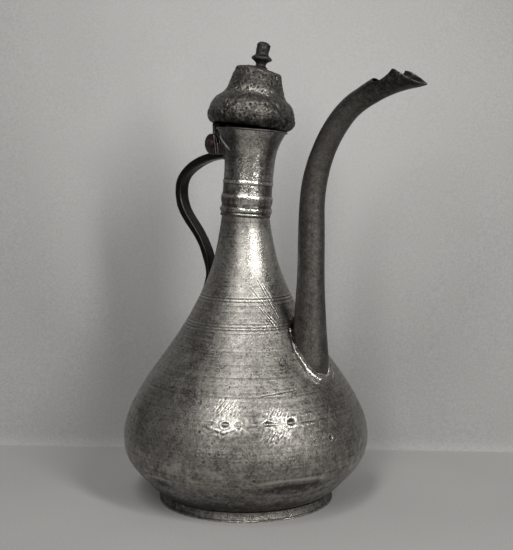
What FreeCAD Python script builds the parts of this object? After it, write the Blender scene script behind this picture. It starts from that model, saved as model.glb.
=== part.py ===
"""Tinned copper ewer: pear body, leaning neck, tube spout, strap handle and a hinged lid with a knob.

Millimetres. The origin is on the body's axis, on the surface that the foot stands on.
+X points to the spout, -X to the handle and the hinge, +Z up.
"""

import FreeCAD, Part
import math
import os

from FreeCAD import Placement, Rotation, Vector

# Sheet metal
BODY_WALL = 1.5
NECK_WALL = 1.2
LID_WALL = 1.4
SPOUT_WALL = 1.2

# Foot and bottom
FOOT_R = 66.5
FOOT_WAIST_R = 64.9
FOOT_HEIGHT = 8.6
FOOT_FLANGE = 8.0
BOTTOM_Z = 4.5
BOTTOM_FLANGE_R = 52.0
BOTTOM_EDGE_R = 62.0
BASE_PLATE_R = 60.0
BASE_DOME = 4.0

# Body outline, radius and height
BODY_OUTLINE = [
    (60.5, 4.6), (66.4, 8.0), (79.7, 20.5), (90.4, 35.0), (92.8, 48.5), (89.4, 65.0), (82.3, 80.0),
    (69.2, 100.0), (54.8, 120.0), (42.2, 140.0), (31.9, 160.0), (24.5, 180.0), (20.3, 200.0), (18.0, 214.6),
]
SEAM_Z = 75.0
SEAM_LAP = 7.0
SEAM_BEAD_R = 0.9

# Neck sleeve, in its own frame: radius and height above the step
STEP_Z = 214.6
NECK_LEAN = 4.4  # degrees
LEAN_TOWARDS = 45.0  # degrees from +X to +Y
NECK_R = 18.3
SLEEVE_EDGE_R = 18.7
LAP_R = 17.7
LAP_HEIGHT = 12.0
BEAD = (1.0, 5.4, 19.5)  # from, to, crest radius
BAND = (6.9, 14.6, 19.1)
RIDGE = (22.0, 25.0, 18.9)
FLARE = [(18.3, 31.0), (18.7, 38.5), (19.8, 47.7), (22.4, 55.2), (25.9, 61.6)]
RIM_WIRE_R = 0.9
RIM_RISE = 0.2
NECK_SOLDER = 2.0

# Spout, in the plane of the spout and the handle
SPOUT_START = (57.0, 96.0)
SPOUT_STRAIGHT_END = (58.3, 218.0)
# Share of the straight run and tube radius there
SPOUT_TAPER = [(0.0, 14.6), (0.22, 13.0), (0.48, 10.7), (0.8, 9.6), (1.0, 9.3)]
LOW_BEND = (105.0, 35.0)  # radius and degrees
HIGH_BEND = (65.0, 31.0)
BEND_R = (8.7, 8.1, 7.9, 7.9)  # tube radius at the middle and end of each bend
# Sections of the open beak: centre x and z, radius, and degrees that it rises
BEAK = [(119.0, 308.2, 10.4, 24.0), (133.0, 313.0, 11.9, 18.0), (146.0, 317.0, 12.6, 16.0)]
EAR = (121.4, 315.5)
TIP = (146.0, 304.0)
NOTCH = (112.5, 316.0, 9.0)  # x, z, radius
SOLDER_WIDTH = 2.6
SOLDER_HEIGHT = 1.8

# Handle centre line, from the neck to the pad on the body, and its section
HANDLE_LINE = [
    (-14.0, 259.6), (-32.5, 257.0), (-49.5, 250.2), (-60.0, 239.4), (-61.2, 224.0), (-52.8, 208.6),
    (-41.2, 193.8), (-34.6, 178.4), (-32.9, 167.0), (-37.6, 152.0), (-39.4, 147.5),
]
HANDLE_THICK = [5.5, 5.5, 5.3, 5.0, 4.8, 4.6, 4.2, 3.8, 3.4, 3.0, 2.2]
HANDLE_WIDTH = 10.0
HANDLE_EDGE = 1.0
BRAZE_WIDTH = 1.6
PAD_RIVETS_Z = (151.0, 158.0)
RIVET_R = 1.5
RIVET_HEAD_R = 2.9
RIVET_HEAD = 1.4
HEAD_FLAT = 0.8  # radius of the flat at the crown of a rounded head

# Hinge, with its pin along Y
PIN_X = -26.8
PIN_Z = 267.2
PIN_R = 1.6
PIN_FIT = 0.04
KNUCKLE_R = 6.1
KNUCKLES = 5
KNUCKLE_LENGTH = 2.8
KNUCKLE_GAP = 0.35
PIN_HEAD_R = 3.4
PIN_HEAD = 1.5
BRACKET_PLATE = 1.6
BRACKET_TOP = 5.0  # above the pin
BRACKET_BOTTOM = -5.6

# Lid, in its own frame: radius and height above its lip
LID_TILT = 8.2
LID_LIFT = 2.8  # lip centre above the mouth centre
LID_OUTLINE = [
    (26.8, 0.0), (30.2, 1.3), (32.6, 5.2), (32.4, 9.0), (30.8, 14.2), (27.6, 19.2), (23.0, 23.4),
    (20.6, 29.2), (18.9, 34.5), (17.3, 39.6),
]
LID_SHOULDER = (15.6, 41.7)
LID_ROOF_H = 43.8
LID_SEAM_H = 8.3
LID_LAP = 4.0
TAIL_THICK = 2.4
TAIL_REACH_H = 3.4  # height on the lid where the tail ends
TAIL_HEIGHT = 12.0
TAIL_CLEAR = 0.5  # from the turned edge of the mouth
TAIL_RIVET_R = 1.1
TAIL_RIVET_HEAD_R = 1.9
TAIL_RIVET_Y = 3.0
KNOB_STEM_R = 3.7
KNOB_DISC_R = 7.5
KNOB_DISC_EDGE = 1.4
KNOB_TOP_R = 5.0
KNOB_FOOT_R = 6.2
KNOB_HEIGHTS = (43.8, 46.6, 48.0, 50.5, 53.2, 55.6, 61.0, 62.9)
WASHER_R = 6.0
WASHER = 1.0
TENON_R = 2.0
TENON_PEEN = 1.0

BIG = 400.0
UP = Vector(0, 0, 1)


def at(x, z):
    return Vector(x, 0, z)


def curve(points):
    line = Part.BSplineCurve()
    line.interpolate([at(x, z) for x, z in points])
    return line


def moved(points, distance):
    """The points pushed along the line's left-hand normal, which is inwards on an outline that runs up."""
    line = curve(points)
    out = []
    for x, z in points:
        along = line.tangent(line.parameter(at(x, z)))[0]
        out.append((x - along.z * distance, z + along.x * distance))
    return out


def turned(edges):
    """A solid of revolution about Z from the edges of a closed outline."""
    face = Part.Face(Part.Wire(Part.__sortEdges__(edges)))
    return face.revolve(Vector(), UP, 360)


def sheet(points, depth, wall):
    """A turned sheet between two offsets of an outline, depth and depth + wall inside it."""
    outer = moved(points, depth) if depth else points
    inner = moved(points, depth + wall)
    edges = [
        curve(outer).toShape(),
        curve(inner).toShape(),
        Part.makeLine(at(*outer[0]), at(*inner[0])),
        Part.makeLine(at(*outer[-1]), at(*inner[-1])),
    ]
    return turned(edges)


def filled(points):
    """The turned solid inside an outline."""
    low = points[0]
    high = points[-1]
    edges = [
        curve(points).toShape(),
        Part.makeLine(at(0, low[1]), at(*low)),
        Part.makeLine(at(*high), at(0, high[1])),
        Part.makeLine(at(0, high[1]), at(0, low[1])),
    ]
    return turned(edges)


def path(corners):
    return [Part.makeLine(at(*a), at(*b)) for a, b in zip(corners, corners[1:])]


def polygon(corners):
    return path(corners + corners[:1])


def ring(r0, r1, z0, z1):
    return turned(polygon([(r0, z0), (r1, z0), (r1, z1), (r0, z1)]))


def between(shape, z0, z1):
    return shape.common(Part.makeCylinder(BIG, z1 - z0, Vector(0, 0, z0)))


def torus(radius, height, section):
    return Part.makeTorus(radius, section, Vector(0, 0, height), UP)


def cut_all(shape, tools):
    for tool in tools:
        shape = shape.cut(tool)
    return shape


def leaning(degrees):
    """Turn that tips an upright axis towards LEAN_TOWARDS."""
    way = math.radians(LEAN_TOWARDS)
    axis = Vector(-math.sin(way), math.cos(way), 0)
    return Rotation(axis, degrees)


def on_neck(shape):
    out = shape.copy()
    out.Placement = Placement(Vector(0, 0, STEP_Z), leaning(NECK_LEAN))
    return out


def lid_placement():
    mouth_h = FLARE[-1][1]
    centre = Vector(0, 0, STEP_Z) + leaning(NECK_LEAN).multVec(Vector(0, 0, mouth_h + LID_LIFT))
    return Placement(centre, leaning(LID_TILT))


def on_lid(shape):
    out = shape.copy()
    out.Placement = lid_placement()
    return out


def along_y(x, z, radius, y0, y1):
    return Part.makeCylinder(radius, y1 - y0, Vector(x, y0, z), Vector(0, 1, 0))


def dome_edge(radius, base, crown):
    """Round head from its rim at base to the small flat at its crown."""
    over = ((radius + HEAD_FLAT) * 0.62, base + (crown - base) * 0.66)
    return Part.Arc(at(radius, base), at(*over), at(HEAD_FLAT, crown)).toShape()


def dome_rivet(base, out, grip, shank_r, head_r, head):
    """A rivet whose round head stands on base and points out, with a flat clench at the end of its grip."""
    clench_r = shank_r * 1.5
    end = -grip - head * 0.6
    outline = path([(HEAD_FLAT, head), (0, head), (0, end), (clench_r, end), (clench_r, -grip),
                    (shank_r, -grip), (shank_r, 0), (head_r, 0)])
    rivet = turned([dome_edge(head_r, 0, head)] + outline)
    rivet.Placement = Placement(base, Rotation(UP, out))
    return rivet


# Body

body_inside = filled(BODY_OUTLINE)


def make_foot_ring():
    flare = [
        (FOOT_R, 0.0),
        (FOOT_WAIST_R + 0.3, FOOT_HEIGHT * 0.4),
        (FOOT_WAIST_R, FOOT_HEIGHT * 0.7),
        (FOOT_R - 1.0, FOOT_HEIGHT),
    ]
    skirt = sheet(flare, 0, BODY_WALL)
    flange = ring(FOOT_R - FOOT_FLANGE, FOOT_R - 0.1, 0, BODY_WALL)
    return between(skirt.fuse(flange), 0, FOOT_HEIGHT).cut(body_inside).removeSplitter()


def make_lower_bowl():
    wall = between(sheet(BODY_OUTLINE, 0, BODY_WALL), 0, SEAM_Z)
    flange = ring(BOTTOM_FLANGE_R, BOTTOM_EDGE_R, BOTTOM_Z, BOTTOM_Z + BODY_WALL)
    return wall.fuse(flange.common(body_inside)).removeSplitter()


def make_base_plate():
    low = BOTTOM_Z + BODY_WALL
    crown = low + BASE_DOME
    flat_r = BASE_PLATE_R * 0.35
    edge_r = BOTTOM_FLANGE_R
    bend = ((flat_r + edge_r) / 2, crown - BASE_DOME * 0.35)
    under = Part.Arc(at(edge_r, low), at(*bend), at(flat_r, crown)).toShape()
    top = under.copy()
    top.translate(UP * BODY_WALL)
    face = low + BODY_WALL
    outer = path([(edge_r, low), (BASE_PLATE_R, low), (BASE_PLATE_R, face), (edge_r, face)])
    middle = path([(flat_r, crown), (0, crown), (0, crown + BODY_WALL), (flat_r, crown + BODY_WALL)])
    return turned([under, top] + outer + middle)


def make_upper_body():
    wall = between(sheet(BODY_OUTLINE, 0, BODY_WALL), SEAM_Z, STEP_Z)
    lap = between(sheet(BODY_OUTLINE, BODY_WALL, BODY_WALL), SEAM_Z - SEAM_LAP, SEAM_Z + 3)
    tube = on_neck(ring(LAP_R - BODY_WALL, LAP_R, -3, LAP_HEIGHT - 0.5))
    return wall.fuse([lap, tube]).removeSplitter()


def make_belly_seam():
    """Half-round bead of braze on the body's skin, over the butt of the two halves."""
    line = curve(BODY_OUTLINE)
    low, middle, high = [
        line.intersect(Part.LineSegment(at(0, z), at(BIG, z)))[0].toShape().Point
        for z in (SEAM_Z - SEAM_BEAD_R, SEAM_Z, SEAM_Z + SEAM_BEAD_R)
    ]
    under = line.toShape(line.parameter(low), line.parameter(high))
    crest = middle + Vector(SEAM_BEAD_R, 0, 0)
    return turned([under, Part.Arc(low, crest, high).toShape()])


# Neck

def neck_outline_edges():
    """Outer line of the sleeve from its lower edge to the flared mouth."""
    edges = []
    last = at(SLEEVE_EDGE_R, 0)
    for low, high, crest in (BEAD, BAND, RIDGE):
        start = at(NECK_R, low)
        end = at(NECK_R, high)
        edges.append(Part.makeLine(last, start))
        edges.append(Part.Arc(start, at(crest, (low + high) / 2), end).toShape())
        last = end
    edges.append(Part.makeLine(last, at(*FLARE[0])))
    edges.append(curve(FLARE).toShape())
    return edges


def make_neck_sleeve(upper):
    inner = moved(FLARE, NECK_WALL)
    bore_r = inner[0][0]
    inside = [
        Part.makeLine(at(*FLARE[-1]), at(*inner[-1])),
        curve(inner).toShape(),
        Part.makeLine(at(*inner[0]), at(bore_r, LAP_HEIGHT)),
        Part.makeLine(at(bore_r, LAP_HEIGHT), at(LAP_R, LAP_HEIGHT)),
        Part.makeLine(at(LAP_R, LAP_HEIGHT), at(LAP_R, 0)),
        Part.makeLine(at(LAP_R, 0), at(SLEEVE_EDGE_R, 0)),
    ]
    return on_neck(turned(neck_outline_edges() + inside)).cut(upper)


def neck_filled():
    top = FLARE[-1][1]
    core = [
        Part.makeLine(at(*FLARE[-1]), at(0, top)),
        Part.makeLine(at(0, top), at(0, 0)),
        Part.makeLine(at(0, 0), at(SLEEVE_EDGE_R, 0)),
    ]
    return on_neck(turned(neck_outline_edges() + core))


def make_neck_solder():
    wedge = [(LAP_R, 0), (SLEEVE_EDGE_R, 0), (SLEEVE_EDGE_R - 0.1, -NECK_SOLDER), (LAP_R, -NECK_SOLDER)]
    return on_neck(turned(polygon(wedge))).cut(body_inside)


def make_mouth_rim(sleeve):
    r, h = FLARE[-1]
    return on_neck(torus(r - RIM_RISE / 2, h + RIM_RISE, RIM_WIRE_R)).cut(sleeve)


# Spout

def spout_sections(inset):
    """Circles square to the spout's centre line, from inside the body to the end of the beak."""
    x0, z0 = SPOUT_START
    x1, z1 = SPOUT_STRAIGHT_END
    heading = math.atan2(z1 - z0, x1 - x0)
    sections = []
    for share, radius in SPOUT_TAPER:
        sections.append((x0 + (x1 - x0) * share, z0 + (z1 - z0) * share, radius, heading))
    x, z = x1, z1
    radii = list(BEND_R)
    for bend_r, degrees in (LOW_BEND, HIGH_BEND):
        centre = (x + bend_r * math.sin(heading), z - bend_r * math.cos(heading))
        for share in (0.5, 1.0):
            now = heading - math.radians(degrees * share)
            x = centre[0] - bend_r * math.sin(now)
            z = centre[1] + bend_r * math.cos(now)
            sections.append((x, z, radii.pop(0), now))
        heading = now
    for x, z, radius, rise in BEAK:
        sections.append((x, z, radius, math.radians(rise)))
    wires = []
    for x, z, radius, now in sections:
        normal = Vector(math.cos(now), 0, math.sin(now))
        wires.append(Part.Wire(Part.makeCircle(radius - inset, at(x, z), normal)))
    return wires


def spout_solid(inset):
    return Part.makeLoft(spout_sections(inset), True, False)


def make_spout_tube(solid, bore):
    """The tube, its mouth cut on a slant from ears to tip, with a bite out of the wall behind the ears."""
    tube = solid.cut(bore).cut(body_inside)
    slope = at(TIP[0] - EAR[0], TIP[1] - EAR[1]).normalize()
    away = slope.cross(Vector(0, 1, 0))
    wide = TIP[0] - EAR[0]
    start = at(*EAR) - slope * wide
    end = start + slope * 3 * wide
    corners = [start, end, end + away * 2 * wide, start + away * 2 * wide]
    above = Part.Face(Part.makePolygon(corners + corners[:1])).extrude(Vector(0, 4 * wide, 0))
    above.translate(Vector(0, -2 * wide, 0))
    past_bite = Part.makeBox(3 * wide, 4 * wide, 3 * wide, Vector(NOTCH[0], -2 * wide, TIP[1] - wide))
    bite = along_y(*NOTCH, -2 * wide, 2 * wide)
    return tube.cut(above.common(past_bite)).cut(bite)


def make_spout_solder(solid, upper):
    """Fillet of solder in the corner between the tube and the body."""
    collar = Part.makeLoft(spout_sections(-SOLDER_WIDTH)[:4], True, False)
    skin = filled(moved(BODY_OUTLINE, -SOLDER_HEIGHT))
    return collar.common(skin).cut(solid).cut(body_inside).cut(upper)


# Handle

def make_handle(neck_body):
    line = curve(HANDLE_LINE)
    left = []
    right = []
    for (x, z), thick in zip(HANDLE_LINE, HANDLE_THICK):
        along = line.tangent(line.parameter(at(x, z)))[0]
        half = thick / 2
        left.append((x - along.z * half, z + along.x * half))
        right.append((x + along.z * half, z - along.x * half))
    edges = [
        curve(left).toShape(),
        curve(right).toShape(),
        Part.makeLine(at(*left[0]), at(*right[0])),
        Part.makeLine(at(*left[-1]), at(*right[-1])),
    ]
    face = Part.Face(Part.Wire(Part.__sortEdges__(edges)))
    bar = face.extrude(Vector(0, HANDLE_WIDTH, 0))
    bar.translate(Vector(0, -HANDLE_WIDTH / 2, 0))
    long_edges = [e for e in bar.Edges if e.Length > BIG / 4]
    return bar.makeFillet(HANDLE_EDGE, long_edges).cut(neck_body).cut(body_inside)


def make_handle_braze(neck_body, handle):
    x, z = HANDLE_LINE[0]
    wide = HANDLE_WIDTH + 2 * BRAZE_WIDTH
    tall = HANDLE_THICK[0] / 2 + BRAZE_WIDTH + 0.5
    low = z - HANDLE_THICK[0] / 2 - BRAZE_WIDTH
    block = Part.makeBox(2 * NECK_R, wide, tall, Vector(x - 2 * NECK_R, -wide / 2, low))
    skin = neck_body.makeOffsetShape(BRAZE_WIDTH, 0.01)
    return block.common(skin).cut(neck_body).cut(handle)


def pad_rivet_places():
    """Where each pad rivet's axis meets the body, and the direction out of the body there."""
    line = curve(BODY_OUTLINE)
    places = []
    for z in PAD_RIVETS_Z:
        spot = line.intersect(Part.LineSegment(at(0, z), at(BIG, z)))[0]
        along = line.tangent(line.parameter(at(spot.X, z)))[0]
        places.append((Vector(-spot.X, 0, z), Vector(-along.z, 0, -along.x)))
    return places


def make_pad_rivets(pad_thick):
    rivets = []
    for base, out in pad_rivet_places():
        rivets.append(dome_rivet(base + out * pad_thick, out, pad_thick + BODY_WALL,
                                 RIVET_R, RIVET_HEAD_R, RIVET_HEAD))
    return rivets


# Hinge

def knuckle_spans():
    whole = KNUCKLES * KNUCKLE_LENGTH + (KNUCKLES - 1) * KNUCKLE_GAP
    pitch = KNUCKLE_LENGTH + KNUCKLE_GAP
    return [(-whole / 2 + i * pitch, -whole / 2 + i * pitch + KNUCKLE_LENGTH) for i in range(KNUCKLES)]


def barrel(spans, radius, grow=0.0):
    return [along_y(PIN_X, PIN_Z, radius, low - grow, high + grow) for low, high in spans]


def pin_hole():
    return along_y(PIN_X, PIN_Z, PIN_R + PIN_FIT, -BIG / 4, BIG / 4)


def knuckle_rooms():
    """Space that the lid's knuckles turn in."""
    return barrel(knuckle_spans()[1::2], KNUCKLE_R + KNUCKLE_GAP, KNUCKLE_GAP)


def make_hinge_bracket(neck_body, handle):
    spans = knuckle_spans()
    fixed = spans[0::2]
    arms = [
        Part.makeBox(14, high - low, KNUCKLE_R, Vector(PIN_X, low, PIN_Z - KNUCKLE_R))
        for low, high in fixed
    ]
    wide = spans[-1][1] - spans[0][0]
    slab = Part.makeBox(16, wide, BRACKET_TOP - BRACKET_BOTTOM,
                        Vector(PIN_X + 1, -wide / 2, PIN_Z + BRACKET_BOTTOM))
    plate = slab.common(neck_body.makeOffsetShape(BRACKET_PLATE, 0.01))
    whole = plate.fuse(arms + barrel(fixed, KNUCKLE_R)).removeSplitter()
    whole = cut_all(whole, knuckle_rooms())
    return whole.cut(neck_body).cut(handle).cut(pin_hole())


def make_hinge_pin():
    spans = knuckle_spans()
    end = spans[-1][1]
    crown = end + PIN_HEAD
    lower_head = dome_edge(PIN_HEAD_R, -end, -crown)
    upper_head = dome_edge(PIN_HEAD_R, end, crown)
    shank = path([(PIN_HEAD_R, -end), (PIN_R, -end), (PIN_R, end), (PIN_HEAD_R, end)])
    core = path([(HEAD_FLAT, crown), (0, crown), (0, -crown), (HEAD_FLAT, -crown)])
    pin = turned([lower_head, upper_head] + shank + core)
    pin.Placement = Placement(at(PIN_X, PIN_Z), Rotation(UP, Vector(0, 1, 0)))
    return pin


# Lid

def lid_filled():
    return on_lid(filled(LID_OUTLINE))


def make_lid_skirt():
    return on_lid(between(sheet(LID_OUTLINE, 0, LID_WALL), -1, LID_SEAM_H))


def make_lid_dome():
    wall = between(sheet(LID_OUTLINE, 0, LID_WALL), LID_SEAM_H, BIG)
    lap = between(sheet(LID_OUTLINE, LID_WALL, LID_WALL), LID_SEAM_H - LID_LAP, LID_SEAM_H + 2.5)
    edge = LID_OUTLINE[-1]
    inner = moved(LID_OUTLINE, LID_WALL)[-1]
    bend = ((edge[0] + LID_SHOULDER[0]) / 2 + 0.4, (edge[1] + LID_SHOULDER[1]) / 2 + 0.3)
    under = (LID_SHOULDER[0] - 0.6, LID_SHOULDER[1] - LID_WALL)
    roof = turned([
        Part.Arc(at(*edge), at(*bend), at(*LID_SHOULDER)).toShape(),
        Part.makeLine(at(*LID_SHOULDER), at(KNOB_FOOT_R, LID_ROOF_H)),
        Part.makeLine(at(KNOB_FOOT_R, LID_ROOF_H), at(0, LID_ROOF_H)),
        Part.makeLine(at(0, LID_ROOF_H), at(0, LID_ROOF_H - LID_WALL)),
        Part.makeLine(at(0, LID_ROOF_H - LID_WALL), at(KNOB_FOOT_R, LID_ROOF_H - LID_WALL)),
        Part.makeLine(at(KNOB_FOOT_R, LID_ROOF_H - LID_WALL), at(*under)),
        Part.makeLine(at(*under), at(*inner)),
        Part.makeLine(at(*inner), at(*edge)),
    ])
    tenon_hole = Part.makeCylinder(TENON_R, 10, Vector(0, 0, LID_ROOF_H - 5))
    return on_lid(wall.fuse([lap, roof]).removeSplitter().cut(tenon_hole))


def make_lid_finial():
    foot, stem, low, disc, high, waist, shoulder, top = KNOB_HEIGHTS
    edge = KNOB_DISC_EDGE / 2
    outline = [
        Part.makeLine(at(0, foot), at(KNOB_FOOT_R, foot)),
        Part.Arc(at(KNOB_FOOT_R, foot), at(KNOB_STEM_R + 0.7, stem - 2.0), at(KNOB_STEM_R, stem)).toShape(),
        Part.makeLine(at(KNOB_STEM_R, stem), at(KNOB_STEM_R + 0.9, low)),
        Part.makeLine(at(KNOB_STEM_R + 0.9, low), at(KNOB_DISC_R, disc - edge)),
        Part.makeLine(at(KNOB_DISC_R, disc - edge), at(KNOB_DISC_R, disc + edge)),
        Part.makeLine(at(KNOB_DISC_R, disc + edge), at(KNOB_TOP_R, high)),
        Part.Arc(at(KNOB_TOP_R, high), at(KNOB_TOP_R - 0.6, waist), at(KNOB_TOP_R, shoulder)).toShape(),
        Part.Arc(at(KNOB_TOP_R, shoulder), at(KNOB_TOP_R - 1.0, top - 0.5), at(HEAD_FLAT, top)).toShape(),
        Part.makeLine(at(HEAD_FLAT, top), at(0, top)),
        Part.makeLine(at(0, top), at(0, foot)),
    ]
    plate_bottom = LID_ROOF_H - LID_WALL - WASHER
    tenon = Part.makeCylinder(TENON_R, foot - plate_bottom, Vector(0, 0, plate_bottom))
    peen = Part.makeCylinder(TENON_R * 1.6, TENON_PEEN, Vector(0, 0, plate_bottom - TENON_PEEN))
    return on_lid(turned(outline).fuse([tenon, peen]).removeSplitter())


def make_finial_washer():
    low = LID_ROOF_H - LID_WALL - WASHER
    return on_lid(ring(TENON_R, WASHER_R, low, low + WASHER))


def tail_rivet_places():
    """Where the tail rivets go through the lid: on its skirt at the back, square to the sheet."""
    line = curve(LID_OUTLINE)
    height = TAIL_REACH_H / 2
    spot = line.intersect(Part.LineSegment(at(0, height), at(BIG, height)))[0]
    along = line.tangent(line.parameter(at(spot.X, height)))[0]
    frame = lid_placement()
    places = []
    for y in (-TAIL_RIVET_Y, TAIL_RIVET_Y):
        turn = math.asin(y / spot.X)
        way = Rotation(UP, 180 - math.degrees(turn))
        base = way.multVec(at(spot.X, height))
        out = way.multVec(Vector(along.z, 0, -along.x))
        places.append((frame.multVec(base), frame.Rotation.multVec(out)))
    return places


def tail_span():
    loose = knuckle_spans()[1::2]
    return loose[0][0], loose[-1][1]


def make_lid_tail(lid_body, mouth_room):
    """Leaf that hangs from the lid's lip at the back, with two knuckles rolled at its lower edge."""
    loose = knuckle_spans()[1::2]
    low, high = tail_span()
    skin = on_lid(filled(moved(LID_OUTLINE, -TAIL_THICK)))
    under_lip = on_lid(Part.makeCylinder(BIG, TAIL_REACH_H + TAIL_THICK, Vector(0, 0, -TAIL_THICK)))
    back = Part.makeBox(12, high - low, 40, Vector(PIN_X - 6, low, PIN_Z + KNUCKLE_R))
    patch = skin.common(under_lip).common(back)
    leaf_x = PIN_X - 0.6
    leaf_z = PIN_Z + KNUCKLE_R + KNUCKLE_GAP
    leaf = Part.makeBox(TAIL_THICK, high - low, TAIL_HEIGHT, Vector(leaf_x, low, leaf_z))
    stems = [
        Part.makeBox(TAIL_THICK, end - start, KNUCKLE_R + 2, Vector(leaf_x, start, PIN_Z))
        for start, end in loose
    ]
    whole = patch.fuse([leaf] + stems + barrel(loose, KNUCKLE_R)).removeSplitter()
    return whole.cut(lid_body).cut(mouth_room).cut(pin_hole())


def make_tail_rivets():
    rivets = []
    for base, out in tail_rivet_places():
        rivets.append(dome_rivet(base + out * TAIL_THICK, out, TAIL_THICK + LID_WALL,
                                 TAIL_RIVET_R, TAIL_RIVET_HEAD_R, RIVET_HEAD * 0.6))
    return rivets


def build():
    spout_outer = spout_solid(0)
    spout_bore = spout_solid(SPOUT_WALL)
    lower = make_lower_bowl()
    upper = make_upper_body().cut(spout_bore)
    sleeve = make_neck_sleeve(upper)
    neck_body = neck_filled()
    handle = cut_all(make_handle(neck_body), knuckle_rooms())
    bracket = make_hinge_bracket(neck_body, handle)
    braze = make_handle_braze(neck_body, handle).cut(bracket)
    pad_rivets = make_pad_rivets(HANDLE_THICK[-2])
    skirt = make_lid_skirt()
    rim_r, rim_h = FLARE[-1]
    mouth_room = on_neck(Part.makeCylinder(rim_r + RIM_WIRE_R + TAIL_CLEAR, 8, Vector(0, 0, rim_h - 6)))
    tail = make_lid_tail(lid_filled(), mouth_room)
    tail_rivets = make_tail_rivets()
    return {
        "foot_ring": make_foot_ring(),
        "lower_bowl": lower,
        "base_plate": make_base_plate(),
        "upper_body": cut_all(upper, pad_rivets),
        "belly_seam": make_belly_seam(),
        "neck_sleeve": sleeve,
        "neck_solder": make_neck_solder(),
        "mouth_rim": make_mouth_rim(sleeve),
        "spout_tube": make_spout_tube(spout_outer, spout_bore),
        "spout_solder": make_spout_solder(spout_outer, upper),
        "handle_strap": cut_all(handle, pad_rivets),
        "handle_braze": braze,
        "handle_rivets": Part.makeCompound(pad_rivets),
        "hinge_bracket": bracket,
        "hinge_pin": make_hinge_pin(),
        "lid_skirt": cut_all(skirt, tail_rivets),
        "lid_dome": cut_all(make_lid_dome(), tail_rivets),
        "lid_finial": make_lid_finial(),
        "finial_washer": make_finial_washer(),
        "lid_tail": cut_all(tail, tail_rivets),
        "lid_tail_rivets": Part.makeCompound(tail_rivets),
    }


os.makedirs("parts", exist_ok=True)
for node, shape in build().items():
    print(f"{node}: {len(shape.Solids)} solids, {shape.Volume:.1f} mm3, valid {shape.isValid()}")
    shape.exportStep(f"parts/{node}.step")
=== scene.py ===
import math

import bmesh
import bpy
import numpy as np
from mathutils import Matrix, Vector, noise
from mathutils.bvhtree import BVHTree


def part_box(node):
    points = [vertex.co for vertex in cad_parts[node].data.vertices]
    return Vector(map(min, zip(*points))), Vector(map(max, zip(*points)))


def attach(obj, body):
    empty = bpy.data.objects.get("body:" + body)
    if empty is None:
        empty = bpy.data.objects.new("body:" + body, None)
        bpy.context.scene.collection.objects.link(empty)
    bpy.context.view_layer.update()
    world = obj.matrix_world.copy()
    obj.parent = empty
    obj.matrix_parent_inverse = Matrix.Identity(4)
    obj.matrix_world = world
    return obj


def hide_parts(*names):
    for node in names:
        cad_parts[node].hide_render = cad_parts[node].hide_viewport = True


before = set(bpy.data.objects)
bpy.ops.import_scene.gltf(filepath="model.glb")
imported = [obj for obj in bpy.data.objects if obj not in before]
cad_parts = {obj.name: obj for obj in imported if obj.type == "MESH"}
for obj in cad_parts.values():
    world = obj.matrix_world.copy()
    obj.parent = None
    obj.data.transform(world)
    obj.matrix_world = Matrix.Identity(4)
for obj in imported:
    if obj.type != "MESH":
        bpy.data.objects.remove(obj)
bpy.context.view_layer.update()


# Foot ring.
# A strip of copper sheet bent into a hoop, its lower edge turned in to stand on, tinned with the body.
# It is soldered under the bowl, and years of setting down have knocked it out of round.

MM = 0.001
FRONT = math.radians(-54)  # the side where most of the marks are
FOOT_COLUMNS = 420
FOOT_ROW = 0.4 * MM
FOOT_INSET = 0.2 * MM
FOOT_CLEAR = 0.05 * MM  # the least gap above the floor
FOOT_KNOCKS = [(0.5, 34, 3.1), (0.16, 9, 7.7)]  # depth and size in mm, and a shift, of each kind of dent
FOOT_SOIL = [(0.5, 7, 4.9), (0.5, 2.6, 2.1)]  # share, size in mm and shift of each kind of patch
FOOT_LIT_FRONT = (12, 28, 26)  # degrees: middle of the lighter front that faces the camera, its half-width, and the fade beside it
# how dark the painted shade on the sides and back of the hoop is
FOOT_SIDE_SHADE = 0.8
FOOT_BARE = 0.1


def evenly(points, step):
    """The same line with its points about one step apart."""
    points = np.array(points)
    run = np.concatenate([[0], np.cumsum(np.linalg.norm(np.diff(points, axis=0), axis=1))])
    along = np.linspace(0, run[-1], max(3, int(run[-1] / step) + 1))
    return np.column_stack([np.interp(along, run, points[:, i]) for i in (0, 1)])


def settled(values, width):
    """A running mean, which takes out the facets of the CAD mesh."""
    padded = np.pad(values, width // 2, mode="edge")
    return np.convolve(padded, np.ones(width) / width, mode="valid")


def section(node, place, step, low=None, high=None):
    """Outside and inside lines of a turned CAD piece, as radius and height about the axis of place."""
    far, slice_height, skim = 1.0, 0.1 * MM, 0.02 * MM
    smoothing, inside_coarser = 5, 3
    into = place.inverted()
    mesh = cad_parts[node].data
    spots = [into @ v.co for v in mesh.vertices]
    skin = BVHTree.FromPolygons(spots, [p.vertices for p in mesh.polygons])
    low = min(s.z for s in spots) if low is None else low
    high = max(s.z for s in spots) if high is None else high
    outside, inside = [], []
    for height in np.append(np.arange(low + skim, high - skim, slice_height), high - skim):
        outer = skin.ray_cast(Vector((0, -far, height)), Vector((0, 1, 0)))[0]
        inner = skin.ray_cast(Vector((0, 0, height)), Vector((0, -1, 0)))[0]
        if outer and inner:
            outside.append((-outer.y, height))
            inside.append((-inner.y, height))
    outside, inside = np.array(outside), np.array(inside)
    outside[:, 0] = settled(outside[:, 0], smoothing)
    inside[:, 0] = settled(inside[:, 0], smoothing)
    return evenly(outside, step), evenly(inside[::-1], inside_coarser * step)


def wobble(spots, size, shift):
    """Smooth noise from -1 to 1 at each spot, with lumps of about that size."""
    flat = spots.reshape(-1, 3) / size + shift
    return np.array([noise.noise(p) for p in flat.tolist()]).reshape(spots.shape[:-1])


def waves(spots, kinds):
    """Noise of several kinds added up, each with its strength, its size in mm and its shift."""
    return sum(strength * wobble(spots, size * MM, shift) for strength, size, shift in kinds)


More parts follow.
